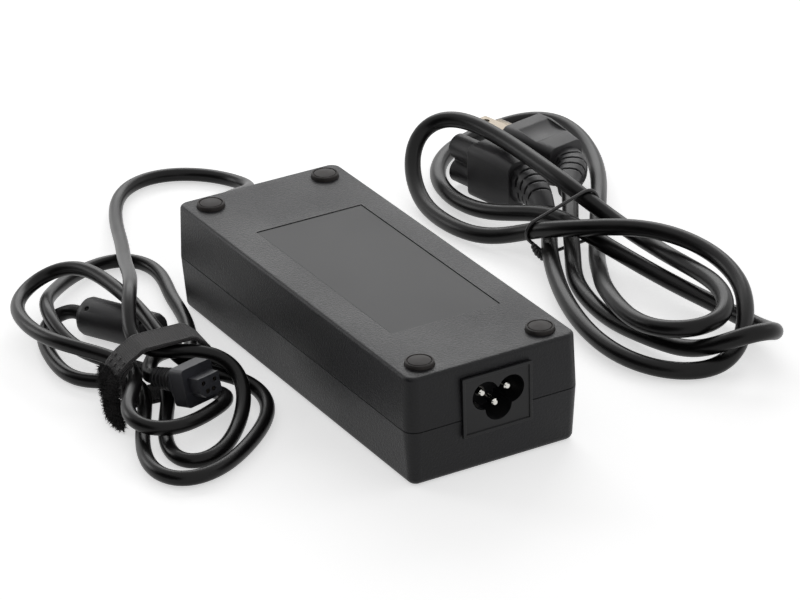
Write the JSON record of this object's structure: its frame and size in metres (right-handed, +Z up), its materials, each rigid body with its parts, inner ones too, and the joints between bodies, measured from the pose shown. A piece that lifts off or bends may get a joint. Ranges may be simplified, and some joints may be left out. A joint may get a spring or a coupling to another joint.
{
  "type": "laptop power adapter",
  "caption": "Laptop power adapter: a black two-shell brick lying feet up, its strapped output lead with choke and plug, and a separate mains lead tied in a bundle.",
  "frame": {"origin": "centre of the brick's plain face, on the surface that it lies on", "axes": "+Y along the brick from the inlet to the output lead, +Z up towards the rubber feet"},
  "size_m": [0.253, 0.2585, 0.0401],
  "materials": {
    "housing": "fine spark texture, black",
    "label": "smooth matt film, bare",
    "screw_steel": "zinc plated",
    "foot_rubber": "dull brown-grey",
    "inlet_plastic": "smooth moulded",
    "nickel": "nickel plated, bright",
    "board": "solder mask over glass fibre",
    "fuse_case": "moulded",
    "capacitor_case": "moulded box",
    "ferrite": "ground ferrite",
    "copper": "enamelled copper wire",
    "package": "epoxy package",
    "sleeve": "shrink sleeve",
    "heat_sink": "mill finish",
    "winding_tape": "polyester tape",
    "cord_jacket": "satin black jacket",
    "moulding": "satin black over-moulding",
    "plug_plastic": "dark grey moulded",
    "contact_brass": "plated contact",
    "strap_weave": "woven hook tape",
    "strap_loop_pile": "brushed loop pile",
    "tie_plastic": "plastic over wire"
  },
  "bodies": {
    "adapter": {"label_shell": "housing", "plain_shell": "housing", "rating_label": "label", "cover_screws": "screw_steel", "rubber_foot_1": "foot_rubber", "rubber_foot_2": "foot_rubber", "rubber_foot_3": "foot_rubber", "rubber_foot_4": "foot_rubber", "inlet_body": "inlet_plastic", "inlet_live_pin": "nickel", "inlet_neutral_pin": "nickel", "inlet_earth_pin": "nickel", "circuit_board": "board", "fuse": "fuse_case", "x_capacitor": "capacitor_case", "line_choke_core": "ferrite", "line_choke_winding": "copper", "bridge_rectifier": "package", "bulk_capacitor": "sleeve", "primary_heat_sink": "heat_sink", "switch_transistor": "package", "transformer_core": "ferrite", "transformer_winding": "winding_tape", "optocoupler": "package", "secondary_heat_sink": "heat_sink", "rectifier_diode": "package", "output_capacitor_1": "sleeve", "output_capacitor_2": "sleeve", "output_capacitor_3": "sleeve", "output_strain_relief": "moulding", "output_cord_run": "cord_jacket", "output_cord_hank": "cord_jacket", "output_cord_tail": "cord_jacket", "choke_cover": "moulding", "choke_ferrite": "ferrite", "dc_plug_boot": "moulding", "dc_plug_block": "plug_plastic", "dc_plug_nose": "plug_plastic", "dc_plug_contacts": "contact_brass", "cable_strap": "strap_weave", "strap_pile": "strap_loop_pile"},
    "mains_lead": {"mains_connector": "moulding", "connector_relief": "moulding", "connector_contacts": "contact_brass", "mains_cord": "cord_jacket", "mains_plug": "moulding", "plug_relief": "moulding", "plug_blades": "nickel", "plug_ground_pin": "nickel", "twist_tie": "tie_plastic"}
  },
  "joints": [
    {"name": "mains_lead_lift", "type": "slide", "parent": "adapter", "child": "mains_lead", "axis": [0, 0, 1], "range_m": [0, 0.12]}
  ]
}
